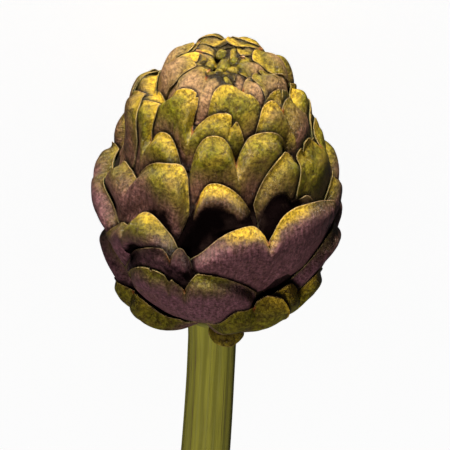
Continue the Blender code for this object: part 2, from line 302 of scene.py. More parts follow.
@dataclass(frozen=True)
class Bract:
    """One bract, with a lobe on each side of a notch. Lengths are in millimetres, angles in degrees.

    The left half lies towards smaller azimuths. A lobe of 0 leaves a plain margin that falls away from the notch.
    """

    azimuth: float  # of the notch
    notch: float  # how far along the outline it lies
    lobes: Pair = (7.0, 7.0)  # how far they rise above the notch
    peaks: Pair = (0.42, 0.42)  # where their tops lie, between the notch at 0 and the side at 1
    wide: float = 1.0
    skew: float = 0.0  # how much wider it is to the right
    fall: Pair = (1.0, 1.0)  # how steeply the margin falls to the side
    bow: Pair = (1.8, 1.8)  # how bowed that fall is: 1 is straight
    flare: float = 0.0  # how far the tip stands away from the bud
    hollow: float = 0.5  # how deep the face sinks under the lobes
    # The next field is gold on the lobe tops: partly their own colour, partly a painted highlight.
    gold_and_highlight: float = 0.5  # how golden the lobes are
    olive: float = 10.0  # how far the green reaches down from the edge
    # The next field is painted shade in the hollow under the lobes.
    painted_shade: float = 0.0  # how dark the hollow under the lobes is
    shade: Pair = (8.0, 40.0)  # from how far under the edge, and to how far
    shade_across: Pair = (-1.2, 1.2)  # and from where to where across
    dim: float = 0.0  # how dark it is all over
    puff: float = 1.0  # how far the lobes bulge
    lean: Pair = (0.0, 0.0)  # how far their tops lean over towards the notch
    thorn: float = 0.0  # the length of the thorn in the notch
    splits: tuple[Split, ...] = ()

    HALF_WIDTHS = ((25.0, 26.0), (52.0, 31.0), (85.0, 31.0), (112.0, 25.0), (133.0, 19.0), (150.0, 12.0))
    LENGTHS = ((25.0, 26.0), (45.0, 42.0), (85.0, 46.0), (118.0, 34.0), (150.0, 24.0))
    ROOT_DEPTHS = ((30.0, 4.0), (62.0, 8.0))  # at the notch's place along the outline, like the two above
    ROOT_WIDTH = 0.74  # as a share of the widest
    DOME = 2.7  # the power of a lobe's dome
    SHOULDER = 0.42  # how far the margin falls at the side, as a share of the length
    BULGE = 3.0  # the height of a lobe's pillow
    PILLOW_DEPTH = 6.5  # how far under the edge the pillow is highest
    HOLLOW_DEPTH = 19.0  # how far under the edge the face is hollowest
    CREASE = 0.8  # how deep the crease under the notch is
    LIP = 0.8  # how far the margins turn in

    def half_width(self) -> float:
        """Half the bract's width at its widest."""
        return self.wide * np.interp(self.notch, *zip(*self.HALF_WIDTHS))

    def tip(self) -> float:
        """How far along the outline the higher lobe reaches."""
        return self.notch + max(self.lobes)

    def length(self) -> float:
        """From the root to the tip. The root stays clear of the stem."""
        return min(np.interp(self.notch, *zip(*self.LENGTHS)), self.tip() - 4)

    def face(self, u: Array, b: Array) -> tuple[Array, Array, Array, Array]:
        """The outer face at u across, from -1 to 1 with the notch at 0, and b from 0 at the root to 1 at the edge.

        The edge is two domes that meet in the notch and fall away to the sides, with the splits cut into it. The
        height falls ever faster from the tip to the root, with a pillow under each dome, a crease under the notch,
        and a lip that turns in.

        Returns:
            Azimuth in degrees, distance along the outline, height over it, and distance to the edge.
        """
        half_width, tip, length = self.half_width(), self.tip(), self.length()
        off = np.abs(u)
        lobe, peak, fall, bow = (np.where(u < 0, *pair) for pair in (self.lobes, self.peaks, self.fall, self.bow))
        inside = np.clip(1 - off / peak, 0, 1)
        outside = np.clip((off - peak) / (1 - peak), 0, 1)
        edge = self.notch + lobe * (1 - inside**self.DOME) - self.SHOULDER * length * fall * outside**bow
        for split in self.splits:
            edge = edge - split.depth * np.exp(-(((u - split.across) * half_width / split.width) ** 2))
        along = tip - length + (edge - tip + length) * b
        to_edge = edge - along
        swell = self.ROOT_WIDTH + (1 - self.ROOT_WIDTH) * np.sin(np.pi * np.clip(b, 0, 0.7) / 1.1)
        sideways = half_width * u * (1 + self.skew * np.sign(u)) * swell
        risen = np.clip((along - self.notch) / np.maximum(lobe, 1), 0, 1) ** 1.5
        sideways -= np.where(u < 0, -self.lean[0], self.lean[1]) * risen * np.clip(off / 0.1, 0, 1)
        azimuth = self.azimuth + OUTLINE.turn(sideways, along)
        root_depth = np.interp(self.notch, *zip(*self.ROOT_DEPTHS))
        height = -root_depth * (np.clip(tip - along, 0, None) / length) ** 1.5
        spread = np.where(to_edge < self.PILLOW_DEPTH, 5.5, 14.0)
        pillow = np.exp(-(((off - peak) / 0.44) ** 2) - ((to_edge - self.PILLOW_DEPTH) / spread) ** 2)
        height += self.puff * (self.BULGE * pillow - 0.7) * np.clip(lobe / 6, 0, 1)
        height -= self.hollow * hill(to_edge, 7.0, self.HOLLOW_DEPTH) * (1 - u**4)
        height -= self.CREASE * np.exp(-((u / 0.07) ** 2) - (to_edge / 4.0) ** 2)
        height -= self.LIP * hill(to_edge, 2.4) + self.LIP * hill(1 - off, 0.13)
        height += self.flare * b**3
        return azimuth, along, height, to_edge


class Wrap:
    """How far out the bud reaches while it is wrapped, bract by bract, from the inside out.

    The rows of its grid of heights are distances along the outline, and the columns are azimuths.
    """

    DEGREES = 0.75
    STEP = 0.75  # millimetres along the outline
    SPREAD = 1.6  # millimetres that the pressed face is smoothed over
    FINER = 4  # how many times as finely as its points lie a face is added

    def __init__(self, depth: float) -> None:
        """Starts with a bare heart this far under the outline."""
        rows = int(OUTLINE.curve["distance"][-1] / self.STEP) + 4
        self.heights = np.full((rows, int(360 / self.DEGREES)), -depth)

    def blurred(self, grid: Array, spread: float) -> Array:
        """A grid averaged twice over so many millimetres each way."""
        reach = int(spread / self.STEP)
        for axis in (0, 1, 0, 1):
            grid = np.mean([np.roll(grid, shift, axis=axis) for shift in range(-reach, reach + 1)], axis=0)
        return grid

    def smoothed(self) -> Array:
        """The heights raised to the highest of each spot's neighbours, then blurred."""
        found = self.heights
        for axis in (0, 1):
            found = np.max([np.roll(found, shift, axis=axis) for shift in range(-1, 2)], axis=0)
        return self.blurred(found, self.SPREAD)

    def read(self, grid: Array, azimuth: Array, along: Array) -> Array:
        """Reads a grid like that of the heights, in degrees round the axis and distances along the outline."""
        row = np.clip(along / self.STEP, 0, len(grid) - 2)
        return read_between(grid, row, np.mod(azimuth, 360.0) / self.DEGREES)

    def cover(self, azimuth: Array, along: Array, height: Array) -> Array:
        """Adds an outer face, given on a grid, to what has been wrapped.

        Args:
            azimuth: degrees round the axis.
            along: distances along the outline.
            height: heights over it.

        Returns:
            Where the face lies: 1 on its spots of the wrap's grid and 0 elsewhere.
        """
        fine = []
        for values in (azimuth, along, height):
            rows, columns = (np.arange(count) for count in values.shape)
            more_rows, more_columns = (np.linspace(0, line[-1], self.FINER * len(line)) for line in (rows, columns))
            tall = np.stack([np.interp(more_rows, rows, values[:, c]) for c in columns], axis=1)
            fine.append(np.stack([np.interp(more_columns, columns, row) for row in tall]))
        i = np.clip(np.rint(fine[1] / self.STEP).astype(int), 0, self.heights.shape[0] - 1)
        j = np.rint(np.mod(fine[0], 360.0) / self.DEGREES).astype(int) % self.heights.shape[1]
        np.maximum.at(self.heights, (i.ravel(), j.ravel()), fine[2].ravel())
        footprint = np.zeros_like(self.heights)
        footprint[i, j] = 1.0
        return footprint


# The bracts that don't follow the spiral's rule alone, by their number along the spiral.
STANDING: dict[int, Bract] = {
    1: Bract(24, 45, (2, 5), peaks=(0.5, 0.7), wide=0.5, flare=-0.5, gold_and_highlight=0.6, olive=34),
    2: Bract(-62, 35, (4, 4), wide=0.75, gold_and_highlight=0.4, olive=20, dim=0.15),
    4: Bract(
        55, 43, (9, 9), peaks=(0.36, 0.3), wide=0.9, gold_and_highlight=0.6, olive=30, thorn=1.5, splits=(Split(0.0, 3.0, 0.6),),
    ),
    5: Bract(-105, 49, (8, 8), flare=-2.0, gold_and_highlight=0.0, olive=2, dim=0.35),
    7: Bract(
        -14.5, 58.5, (10, 11), peaks=(0.42, 0.28), gold_and_highlight=0.15, olive=8, puff=0.6, thorn=2.4,
        splits=(Split(-0.19, 3.5), Split(-0.42, 1.5, 0.5)),
    ),
    9: Bract(88, 64, (6, 6), gold_and_highlight=0.1, olive=3, dim=0.2),
    10: Bract(
        -20.5, 75, (5, 5), peaks=(0.12, 0.3), wide=0.75, skew=-0.55, fall=(2.2, 1.0), gold_and_highlight=0.0, olive=0, puff=0.3,
        painted_shade=0.6, shade=(2, 9), dim=0.5,
    ),
    12: Bract(
        26, 82.5, (8.5, 10.5), peaks=(0.24, 0.26), wide=1.18, skew=0.08, fall=(1.0, 0.5), flare=1.0, gold_and_highlight=0.8,
        olive=4, puff=0.6, thorn=2.2,
    ),
    13: Bract(-124, 75, (4, 1), flare=-6.0, olive=9),
    14: Bract(68, 85, (3, 5), flare=-3.0, gold_and_highlight=0.6, thorn=2.0),
    15: Bract(
        -48, 78, (1.0, 12.5), peaks=(0.15, 0.3), fall=(2.0, 1.0), bow=(1.2, 1.8), hollow=3.0, gold_and_highlight=0.45, olive=9,
        thorn=2.0, painted_shade=1.0, shade=(12, 26), shade_across=(-0.1, 0.75),
    ),
    17: Bract(
        42, 95, (5, 0), peaks=(0.35, 0.4), wide=0.6, flare=-1.0, hollow=3.0, gold_and_highlight=0.0, olive=0, painted_shade=1.0,
        shade=(-9, 60), shade_across=(-1.3, 0.3),
    ),
    18: Bract(-93, 84, (3, 3), peaks=(0.4, 0.3), flare=-2.5, olive=8),
    19: Bract(128, 86, (5, 5), flare=-2.0),
    20: Bract(
        -11, 99.5, (0, 8), peaks=(0.02, 0.21), wide=0.88, skew=0.3, fall=(2.5, 1.5), bow=(1.0, 1.8), hollow=4.0,
        gold_and_highlight=0.65, olive=5, painted_shade=1.0, shade=(6, 60),
    ),
    22: Bract(78, 105, (8, 6), peaks=(0.35, 0.4), wide=0.9, flare=-2.5, olive=22, splits=(Split(-0.45, 3.0, 0.7),)),
    23: Bract(
        -56, 97, (2.5, 14.5), peaks=(0.4, 0.64), skew=0.1, hollow=2.5, gold_and_highlight=0.45, olive=15, thorn=1.6, painted_shade=0.95,
        shade=(17, 44), shade_across=(0.42, 1.2),
    ),
    24: Bract(
        58, 103, (11, 6), peaks=(0.34, 0.45), fall=(1.0, 0.7), flare=-0.5, thorn=1.5, olive=14, painted_shade=1.0,
        shade=(21, 60), shade_across=(-1.3, 0.5),
    ),
    25: Bract(
        13, 113, (12.5, 11.5), peaks=(0.34, 0.40), fall=(1.8, 0.8), bow=(2.2, 2.2), gold_and_highlight=0.25, olive=16, thorn=1.5,
        painted_shade=0.75, shade=(22, 60),
    ),
    26: Bract(-101, 117, (6, 9), peaks=(0.4, 0.5), wide=1.12, flare=1.0, gold_and_highlight=0.4, olive=9),
    27: Bract(
        -54.5, 113.5, (16, 8), peaks=(0.32, 0.32), wide=0.95, skew=0.15, fall=(1.0, 2.5), olive=13, puff=0.8,
        lean=(4.0, 0), thorn=2.0,
    ),
    28: Bract(
        -23.5, 125, (16, 9), peaks=(0.38, 0.48), wide=1.2, fall=(2.0, 1.0), olive=17, puff=0.5, lean=(6.5, 0),
        thorn=2.0, splits=(Split(0.66, 3.5), Split(-0.25, 1.2, 0.5)),
    ),
    30: Bract(164, 112, (8, 7)),
    31: Bract(113, 111, (6, 7), flare=-5.0, gold_and_highlight=0.8, olive=24),
    32: Bract(58, 128.5, (6, 2), peaks=(0.3, 0.3), wide=0.85, flare=-1.0, gold_and_highlight=0.6, olive=22),
    33: Bract(40, 132.5, (12, 4), peaks=(0.42, 0.3), wide=1.25, olive=20, puff=0.7, splits=(Split(0.5, 3.5, 0.6),)),
    34: Bract(-133, 124, (5, 5), flare=-5.0, gold_and_highlight=0.6),
    35: Bract(84, 120, flare=-4.0, gold_and_highlight=0.8, olive=22),
    36: Bract(-89, 125, (6, 7), flare=-4.0, gold_and_highlight=0.8, thorn=2.0, splits=(Split(0.25, 3.0),)),
    38: Bract(144, 128, (6, 6)),
    39: Bract(-100, 142, (6, 9), flare=-1.5, gold_and_highlight=0.3, olive=5),
    41: Bract(-22, 148, (4, 5), wide=0.9, gold_and_highlight=0.3, olive=9),
    43: Bract(88, 140, wide=1.1, flare=-2.0, gold_and_highlight=0.2, olive=7, splits=(Split(-0.3, 3.5, 0.6),)),
    44: Bract(-62, 146, (7, 8), flare=-1.0, gold_and_highlight=0.8, olive=12, splits=(Split(0.45, 4.0, 0.7),)),
    46: Bract(30, 143, (5, 4), peaks=(0.5, 0.3), gold_and_highlight=0.0, olive=2),
}


@dataclass(frozen=True)
class Value:
    """What a node gives out. A +, - or * with another value or a number adds the node that works it out."""

    nodes: "Nodes"
    socket: bpy.types.NodeSocket

    def __add__(self, other: "Value | float") -> "Value":
        """The two added."""
        return self.nodes.sum(Sum.ADD, self, other)

    def __sub__(self, other: "Value | float") -> "Value":
        """The other taken from this."""
        return self.nodes.sum(Sum.SUBTRACT, self, other)

    def __mul__(self, other: "Value | float") -> "Value":
        """The two multiplied."""
        return self.nodes.sum(Sum.MULTIPLY, self, other)


Number = Value | float
Paint = Value | Colour


class Nodes:
    """Builds one material's node tree a node at a time."""

    def __init__(self, name: str) -> None:
        """Starts a material with a Principled shader."""
        self.material = bpy.data.materials.new(name)
        self.material.use_nodes = True
        self.tree = self.material.node_tree
        self.shader = self.tree.nodes["Principled BSDF"]

    def add(self, kind: str, output: str | int, inputs: dict[str | int, object], **settings: object) -> Value:
        """Adds a node of one kind, with what goes into its inputs and its own settings, and returns one output."""
        made = self.tree.nodes.new(kind)
        for name, value in settings.items():
            setattr(made, name, value)
        for name, value in inputs.items():
            self.put(made.inputs[name], value)
        return Value(self, made.outputs[output])

    def put(self, socket: bpy.types.NodeSocket, value: object) -> None:
        """Links a value to the input, or sets the input to a number or a colour."""
        if isinstance(value, Value):
            self.tree.links.new(value.socket, socket)
        elif isinstance(value, tuple) and len(value) == 3 and socket.type == "RGBA":
            socket.default_value = (*value, 1.0)
        else:
            socket.default_value = value

    def attribute(self, name: str) -> Value:
        """A number stored on the piece's points."""
        return self.add("ShaderNodeAttribute", "Fac", {}, attribute_name=name)

    def own_place(self) -> Value:
        """The place in the part's frame, in metres."""
        return self.add("ShaderNodeTexCoord", "Object", {})

    def on_map(self, scale: Pair) -> Value:
        """The place on the piece's UV map, stretched each way."""
        place = self.add("ShaderNodeUVMap", "UV", {}, uv_map="skin")
        return self.add("ShaderNodeMapping", "Vector", {"Scale": (*scale, 1.0), "Vector": place})

    def noise(self, place: Value, scale: float, detail: float = 3.0, rough: float = 0.55) -> Value:
        """Fractal noise from 0 to 1 about 0.5."""
        inputs = {"Vector": place, "Scale": scale, "Detail": detail, "Roughness": rough}
        return self.add("ShaderNodeTexNoise", "Fac", inputs)

    def cells(self, place: Value, scale: float) -> Value:
        """The distance to the nearest of many scattered points."""
        return self.add("ShaderNodeTexVoronoi", "Distance", {"Vector": place, "Scale": scale})

    def sum(self, operation: Sum, a: Number, b: Number) -> Value:
        """One sum on two numbers."""
        return self.add("ShaderNodeMath", 0, {0: a, 1: b}, operation=operation.value)

    def step(self, value: Value, start: float, end: float, low: float = 0.0, high: float = 1.0) -> Value:
        """A smooth step from low at start to high at end."""
        inputs = {"Value": value, "From Min": start, "From Max": end, "To Min": low, "To Max": high}
        return self.add("ShaderNodeMapRange", "Result", inputs, interpolation_type="SMOOTHSTEP")

    def mix(self, share: Number, first: Paint, second: Paint, way: Blend = Blend.COVER) -> Value:
        """Mixes two colours: share 0 gives the first, and 1 the second laid over it in that way."""
        inputs = {0: share, 6: first, 7: second}
        return self.add("ShaderNodeMix", 2, inputs, data_type="RGBA", blend_type=way.value)

    def bump(self, height: Value, distance: float, strength: float = 1.0) -> None:
        """Gives the shader relief from a height between 0 and 1 that spans this distance."""
        inputs = {"Strength": strength, "Distance": distance, "Height": height}
        self.put(self.shader.inputs["Normal"], self.add("ShaderNodeBump", "Normal", inputs))

    def finish(self, **inputs: object) -> Material:
        """Sets the shader's inputs, named with _ for a space, and hands over the material."""
        for name, value in inputs.items():
            self.put(self.shader.inputs[name.replace("_", " ")], value)
        return self.material


@dataclass(frozen=True)
class BractSkin:
    """The bracts' leathery skin: dusty violet, mottled olive under the lobes, gold on top that is partly a painted
    highlight, rust in the notch, and painted shade in creases, pits and hollows.
    """

    violet: Colour = (0.160, 0.064, 0.084)
    dusk: Colour = (0.078, 0.032, 0.038)
    rose: Colour = (0.175, 0.080, 0.052)
    blush: Colour = (0.360, 0.210, 0.100)
    tan: Colour = (0.250, 0.128, 0.060)
    umber: Colour = (0.060, 0.028, 0.014)
    dust: Colour = (0.27, 0.18, 0.18)
    olive: Colour = (0.056, 0.044, 0.002)
    leaf: Colour = (0.145, 0.138, 0.004)
    straw: Colour = (0.275, 0.190, 0.018)
    deepened: Colour = (0.60, 0.62, 0.50)  # times the green, far from where it ends
    # Gold on the lobe tops: partly the tips' own colour, partly a painted highlight.
    gold_and_highlight: Colour = (0.50, 0.315, 0.026)
    margin: Colour = (0.42, 0.25, 0.13)
    rust: Colour = (0.20, 0.052, 0.010)
    brown: Colour = (0.055, 0.022, 0.008)
    dim_grain: Colour = (0.50, 0.46, 0.44)  # times the skin, in the grain's dips
    lit_grain: Colour = (1.62, 1.62, 1.50)  # and on its bumps
    inside: Colour = (0.22, 0.21, 0.07)
    # The next two colours are painted shade, for the creases beside the bracts over a bract, the pits on top and
    # the hollows under the lobes.
    black: Colour = (0.003, 0.0015, 0.0015)
    shade_brown: Colour = (0.018, 0.010, 0.008)
    relief: float = 0.0020
    specular: float = 0.30

    def make(self) -> Material:
        """The material. It reads what each bract stores on its points, and its map in centimetres."""
        n = Nodes("bract_skin")
        edge, reach, warm, painted_shade = (n.attribute(name) for name in ("edge", "reach", "warm", "painted_shade"))
        place = n.own_place()
        cloud = n.noise(place, 65.0)
        mottle = n.noise(place, 380.0, 4.0, 0.65)
        grain = n.noise(place, 800.0, 4.0, 0.75)
        streaks = n.noise(n.on_map((11.0, 1.4)), 1.0, 4.0, 0.65)
        fibres = n.noise(n.on_map((46.0, 5.0)), 1.0, 3.0, 0.6)
        uneven = mottle - 0.5

        # The ground: violet on the outer bracts, rose on the inner ones, and a dusty bloom.
        low = n.mix(n.step(streaks, 0.32, 0.66), self.dusk, self.violet)
        high = n.mix(n.step(streaks + mottle * 0.6, 0.62, 0.98), self.umber, self.rose)
        ground = n.mix(n.sum(Sum.MINIMUM, warm, 1.0), low, high)
        ground = n.mix(n.step(warm, 1.0, 2.0, 0.0, 0.75) * n.step(reach, 16.0, 4.0), ground, self.blush)
        ground = n.mix(n.step(fibres, 0.52, 0.74, 0.0, 0.34), ground, self.dust)

        # The green under the lobes, with straw and tan in it.
        patchy = n.mix(n.step(mottle, 0.32, 0.68), self.olive, self.leaf)
        pale = n.step(n.noise(place, 150.0, 5.0, 0.6), 0.38, 0.72)
        patchy = n.mix(pale * n.step(warm, 0.0, 1.0, 0.15, 0.70), patchy, self.straw)
        blotch = n.step(n.noise(place, 48.0, 4.0, 0.6), 0.48, 0.68, 0.0, 0.46)
        patchy = n.mix(blotch * n.step(warm, 0.0, 1.2, 0.25, 1.0), patchy, self.tan)
        deeper = n.mix(1.0, patchy, self.deepened, Blend.MULTIPLY)
        patchy = n.mix(n.step(reach, -10.0, 1.0, 0.0, 0.9), patchy, deeper)
        green = n.step(reach + (cloud * 14.0 + mottle * 5.0), 15.5, 3.5)
        skin = n.mix(green * 0.92, ground, patchy)

        # Gold on the lobes, partly a painted highlight, specks, rust in the notch, pale margins, and the grain.
        skin = n.mix(n.step(n.attribute("gold_and_highlight") + uneven * 0.55, 0.08, 0.70), skin, self.gold_and_highlight)
        skin = n.mix(n.step(mottle + grain * 0.5, 0.66, 0.50, 0.0, 0.40), skin, self.umber)
        skin = n.mix(n.step(n.noise(place, 850.0, 3.0, 0.6), 0.58, 0.72, 0.0, 0.7), skin, self.brown)
        skin = n.mix(n.step(n.attribute("rust") + uneven * 0.9, 0.40, 0.85), skin, self.rust)
        skin = n.mix(n.step(edge, 0.36, 0.10, 0.0, 0.55), skin, self.margin)
        grained = n.mix(n.step(grain, 0.34, 0.66), self.dim_grain, self.lit_grain)
        skin = n.mix(1.0, skin, grained, Blend.MULTIPLY)

        # Painted shade in the creases beside the bracts over it and round the tips on top, and the green inner
        # face.
        skin = n.mix(n.step(n.attribute("crease_shade") + cloud * 0.5, 0.35, 1.35, 0.0, 0.9), skin, self.black)
        skin = n.mix(n.attribute("inner"), skin, self.inside)
        # Painted shade in the hollows under the lobes and on the tips' lower sides, together with each bract's dim;
        # it also takes away the shine.
        dark = n.step(painted_shade + (uneven * 0.7 + (cloud - 0.5)), 0.10, 0.80)
        skin = n.mix(dark, skin, n.mix(n.step(n.noise(place, 90.0, 2.0, 0.5), 0.52, 0.72), self.black, self.shade_brown))

        n.bump(fibres * 0.30 + mottle * 0.45 + grain * 0.25, self.relief)
        rough = n.step(cloud, 0.3, 0.7, 0.27, 0.42)
        shine = n.sum(Sum.SUBTRACT, self.specular, dark * self.specular)
        return n.finish(Base_Color=skin, Roughness=rough, Specular_IOR_Level=shine)


@dataclass(frozen=True)
class HeartSkin:
    """The heart, painted near black with little shine as the shade between the bracts, and its green neck at the
    stem.
    """

    dark: Colour = (0.006, 0.004, 0.003)
    light: Colour = (0.020, 0.014, 0.007)
    green: Colour = (0.17, 0.16, 0.035)
    brown: Colour = (0.080, 0.055, 0.020)

    def make(self) -> Material:
        """The material: a dark mottle, and a green one on the neck, which it reads from the points."""
        n = Nodes("heart_skin")
        mottle = n.noise(n.own_place(), 200.0)
        neck = n.mix(n.step(mottle, 0.40, 0.65), self.green, self.brown)
        skin = n.mix(n.attribute("neck"), n.mix(mottle, self.dark, self.light), neck)
        return n.finish(Base_Color=skin, Roughness=0.8, Specular_IOR_Level=0.1)


@dataclass(frozen=True)
class SpineSkin:
    """The small thorns in the notches: reddish brown with a pale foot."""

    brown: Colour = (0.22, 0.06, 0.02)
    pale: Colour = (0.28, 0.15, 0.05)

    def make(self) -> Material:
        """The material, which reads how far each point is up its thorn."""
        n = Nodes("spine_skin")
        return n.finish(Base_Color=n.mix(n.attribute("up"), self.pale, self.brown), Roughness=0.4)


@dataclass(frozen=True)
class StemSkin:
    """The stem's fibrous skin: yellow-green ribs, grey-green furrows, brown-violet streaks, and a pale cut end."""

    rib: Colour = (0.32, 0.295, 0.040)
    furrow: Colour = (0.19, 0.175, 0.026)
    grey: Colour = (0.24, 0.225, 0.05)
    violet: Colour = (0.11, 0.060, 0.035)
    pore: Colour = (0.40, 0.42, 0.18)
    pith: Colour = (0.62, 0.63, 0.36)

    def make(self) -> Material:
        """The material. It reads the rib height and the cut end from the points, and the map in centimetres."""
        n = Nodes("stem_skin")
        place = n.own_place()
        fibres = n.noise(n.on_map((26.0, 0.5)), 1.0, 4.0, 0.6)
        bands = n.noise(n.on_map((4.5, 0.12)), 1.0, 2.0, 0.5)
        lines = n.noise(n.on_map((9.0, 0.16)), 1.0, 3.0, 0.6)
        mottle = n.noise(place, 300.0, 3.0, 0.6)
        skin = n.mix(n.step(n.attribute("rib"), 0.15, 0.75), self.furrow, self.rib)
        skin = n.mix(n.step(bands, 0.45, 0.65, 0.0, 0.8), skin, self.grey)
        skin = n.mix(n.step(bands, 0.40, 0.30, 0.0, 0.6), skin, self.violet)
        skin = n.mix(n.step(fibres, 0.35, 0.65, 0.55, 0.0), skin, self.furrow)
        skin = n.mix(n.step(lines, 0.56, 0.66, 0.0, 0.65), skin, self.violet)
        skin = n.mix(n.step(mottle, 0.55, 0.75, 0.0, 0.35), skin, self.grey)
        cut_end = n.mix(n.step(n.cells(place, 700.0), 0.15, 0.35), self.pore, self.pith)
        skin = n.mix(n.attribute("cut"), skin, cut_end)
        n.bump(fibres * 0.7 + mottle * 0.3, 0.0005, 0.6)
        return n.finish(Base_Color=skin, Roughness=0.55, Specular_IOR_Level=0.25)


@dataclass(frozen=True)
class Laid:
    """A finished bract, the azimuths and distances along of its points, and where it lies on the wrap's grid."""

    piece: Piece
    azimuth: Array
    along: Array
    footprint: Array


@dataclass
class Bud:
    """The head: the heart, the bracts round it, the tips at its apex, and the small thorns in the notches."""

    # The spiral's rule.
    count: int = 54
    golden_angle: float = -137.508
    first_azimuth: float = 224.0
    lowest_notch: float = 30.0
    highest_notch: float = 158.0
    crowding: float = 1.5
    seed: int = 11
    # How it lies.
    lying_height: float = 46.0
    lying_place: float = 52.0
    softening: float = 1.5  # the layer in which what would sink into the surface is pressed together
    # The heart.
    core_depth: float = 8.0
    neck: Pair = (1.5, 16.0)  # from where to where along the outline it draws in
    green_neck: Pair = (12.0, 5.0)  # and turns green
    heart_end: float = 10.0  # how far before the apex it stops
    heart_grid: tuple[int, int] = (90, 96)  # rings and sides
    # A bract's sheet.
    columns: int = 53
    rows: int = 41
    edge_thickness: float = 0.4
    root_thickness: float = 2.2
    thick_depth: float = 16.0  # how far under the edge it is fully thick
    tuck: float = 3.5  # how far from its edge a margin is pulled in
    most_tuck: float = 3.5
    push_depth: Pair = (42.0, 30.0)  # how far under the edge it is pushed out
    pull_depth: Pair = (26.0, 14.0)  # and its side margins are pulled in
    # Its colours.
    green_spread: float = 10.5  # how far the green reaches to each side of a lobe's middle
    # How far under the edge the gold, partly a painted highlight, reaches.
    gold_and_highlight_depth: float = 4.5
    # The painted shade under a tip creeps up to the falling margins at this slope.
    painted_shade_slope: float = 0.6  # how fast the dark under a tip creeps up to the falling margins
    # Painted shade beside the bracts over a bract reaches this far.
    crease_shade: float = 1.5  # how far from the bract over it a bract is darkened
    # Pits between the youngest tips, painted only as shade.
    pits: tuple[Triple, ...] = (  # azimuth, distance from the axis and size
        (176.0, 8.5, 3.2), (110.0, 5.5, 2.2), (-70.0, 6.0, 2.4),
    )
    # The thorns, and the youngest bracts' tips in the hollow on top.
    thorn_radius: float = 0.5
    thorn_grid: tuple[int, int] = (7, 10)
    thorns: list[tuple[Bract, float]] = field(default_factory=list)
    tips: tuple[tuple[float, float, float, float], ...] = (  # azimuth, distance from the axis, level and size
        (20.0, 3.0, 113.0, 2.7), (34.0, 8.0, 113.0, 2.5), (8.0, 13.2, 112.2, 2.8), (-14.0, 10.5, 112.6, 2.6),
        (-60.0, 5.0, 113.0, 2.0), (100.0, 5.0, 112.8, 2.0), (180.0, 5.5, 112.8, 2.2), (-5.0, 7.4, 113.6, 1.8),
    )
    tip_stretch: float = 1.5
    tip_grid: tuple[int, int] = (15, 24)
    # The small bract over the stem.
    foot_azimuth: float = 24.0
    foot_width: float = 38.0
    foot_profile: Pairs = ((7.5, 2.2), (12.0, 1.4), (15.2, -0.6), (17.0, -3.0), (17.2, -5.2))
    foot_thickness: float = 1.0
    foot_length: float = 17.0
    foot_half_width: float = 7.0
    foot_steps: int = 33

    def lay_down(self, points: Array) -> Array:
        """Carries points from the growing frame to the part's, in metres, and presses flat what would sink.

        A level z under the softening s becomes s exp(z / s - 1), which stays above the surface and keeps the order.
        """
        level = self.lying_height - points[..., 1]
        s = self.softening
        level = np.where(level < s, s * np.exp(np.minimum(level, s) / s - 1), level)
        return np.stack([points[..., 0], points[..., 2] - self.lying_place, level], axis=-1) * MM

    def grow(self) -> list[Bract]:
        """Every bract from the outermost in: the spiral's rule, a seeded variation, and those that stand."""
        draw = random.Random(self.seed)
        bracts = []
        for k in range(self.count):
            rise = 1 - (1 - k / (self.count - 1)) ** self.crowding
            grown = Bract(
                azimuth=self.first_azimuth + self.golden_angle * k + draw.uniform(-6, 6),
                notch=self.lowest_notch + (self.highest_notch - self.lowest_notch) * rise + draw.uniform(-2, 2),
                lobes=(draw.uniform(5, 11) * (1 - 0.4 * rise), draw.uniform(5, 11) * (1 - 0.4 * rise)),
                peaks=(draw.uniform(0.32, 0.52), draw.uniform(0.32, 0.52)),
                wide=draw.uniform(0.92, 1.08),
                skew=draw.uniform(-0.12, 0.12),
                flare=draw.uniform(0, 1.0) - 3.6 * rise**2,
                thorn=draw.choice((0.0, 0.0, 1.6, 2.2)),
            )
            bracts.append(STANDING.get(k, grown))
        return bracts

    def press(self, bract: Bract, u: Array, face: tuple[Array, ...], wrap: Wrap) -> Array:
        """Fits a bract's outer face over what is already wrapped.

        Where it would cut into that it is pushed out over it, and its margins are pulled in, most at the very edge.

        Args:
            bract: the bract.
            u: places across.
            face: its azimuth, distance along the outline, height and distance to the edge.
            wrap: what lies under it.

        Returns:
            The fitted heights.
        """
        azimuth, along, height, to_edge = face
        bed = wrap.read(wrap.smoothed(), azimuth, along) + self.edge_thickness + 0.1
        push = np.clip(bed - height, 0, None) * ramp(to_edge, *self.push_depth)
        to_side = bract.half_width() * (1 - np.abs(u))
        near = hill(to_edge, self.tuck) + hill(to_side, self.tuck) * ramp(to_edge, *self.pull_depth)
        pull = np.clip(height - bed, 0, self.most_tuck) * np.clip(near, 0, 1)
        return height + push - pull

